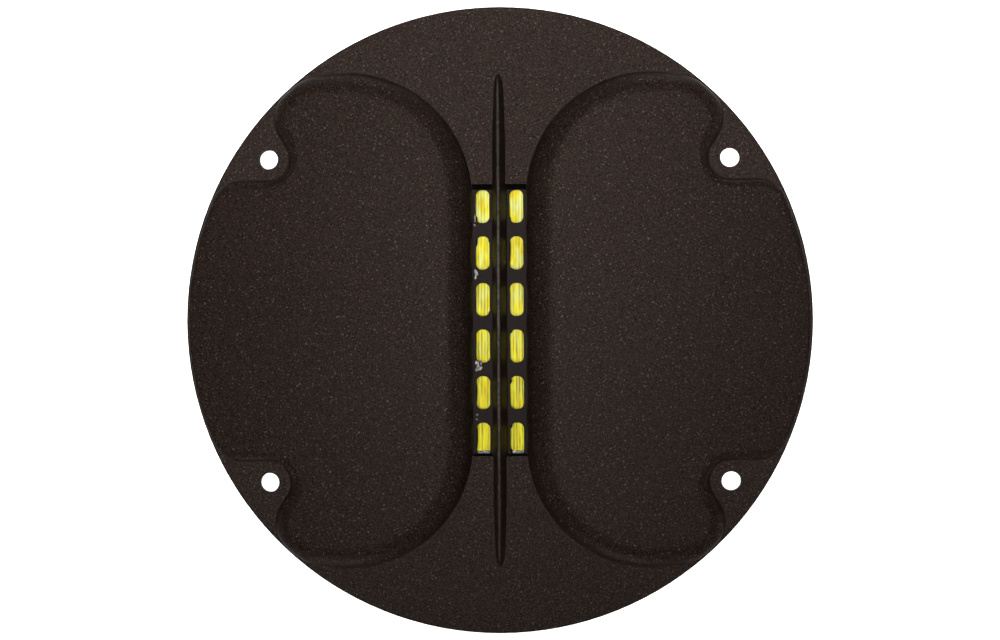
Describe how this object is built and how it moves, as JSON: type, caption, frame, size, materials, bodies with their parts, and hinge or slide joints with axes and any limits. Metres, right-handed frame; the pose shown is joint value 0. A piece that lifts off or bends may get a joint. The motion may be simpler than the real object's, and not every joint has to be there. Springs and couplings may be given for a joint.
{
  "type": "planar magnetic tweeter",
  "caption": "Round flanged high-frequency loudspeaker with a textured horn-lobed front plate, centre fin, slotted magnet motor, etched film diaphragm, closed rear chamber and blade terminals.",
  "frame": {"origin": "centre of the mounting flange's rear face, on the axis of the round front plate", "axes": "+Z is the way the sound leaves, out of the front; +Y runs up along the throat and the centre fin; +X is to the right as seen from the front"},
  "size_m": [0.104, 0.104, 0.0319],
  "materials": {
    "textured_black_casting": "fine-textured black powder coat over a die casting",
    "black_foam": "closed-cell foam",
    "white_adhesive": "cured adhesive, satin",
    "blackened_steel": "black electrophoretic coat",
    "black_spacer_plastic": "glass-filled, matt",
    "fibre_gasket": "pressed fibre sheet",
    "amber_film": "thin polyimide film, glossy",
    "aluminium_foil": "etched foil, bright",
    "nickel_plated_magnet": "satin nickel plate",
    "woven_cloth": "fine woven cloth",
    "black_moulding": "moulded, fine spark texture",
    "grey_felt": "pressed felt",
    "zinc_plated_steel": "bright zinc plate",
    "brown_laminate": "resin-bonded paper laminate, satin",
    "tinned_brass": "tin plate",
    "bare_brass": "bright",
    "red_fibre": "vulcanised fibre",
    "black_fibre": "vulcanised fibre"
  },
  "bodies": {
    "housing": {"waveguide_plate": "textured_black_casting", "mounting_gasket": "black_foam", "glue_squeeze_out": "white_adhesive", "front_pole_plate": "blackened_steel", "front_magnet_left": "nickel_plated_magnet", "front_magnet_centre": "nickel_plated_magnet", "front_magnet_right": "nickel_plated_magnet", "front_spacer": "black_spacer_plastic", "front_film_gasket": "fibre_gasket", "film_border": "amber_film", "film_surround": "amber_film", "coil_tails": "aluminium_foil", "contact_pads": "aluminium_foil", "rear_film_gasket": "fibre_gasket", "rear_spacer": "black_spacer_plastic", "rear_magnet_left": "nickel_plated_magnet", "rear_magnet_centre": "nickel_plated_magnet", "rear_magnet_right": "nickel_plated_magnet", "rear_pole_plate": "blackened_steel", "damping_cloth": "woven_cloth", "chamber_seal": "black_foam", "rear_chamber": "black_moulding", "chamber_felt": "grey_felt", "motor_screws": "zinc_plated_steel", "terminal_board": "brown_laminate", "positive_tab": "tinned_brass", "negative_tab": "tinned_brass", "terminal_rivets": "bare_brass", "positive_washer": "red_fibre", "negative_washer": "black_fibre", "positive_contact_strip": "bare_brass", "negative_contact_strip": "bare_brass"},
    "diaphragm": {"film_panel": "amber_film", "voice_coil": "aluminium_foil", "coil_bridge": "aluminium_foil", "end_beads": "white_adhesive"}
  },
  "joints": [
    {"name": "diaphragm_travel", "type": "slide", "parent": "housing", "child": "diaphragm", "axis": [0, 0, 1], "range_m": [-0.0002, 0.0002], "stiffness_N_per_m": 8000, "deforming": ["film_surround", "coil_tails"]}
  ]
}
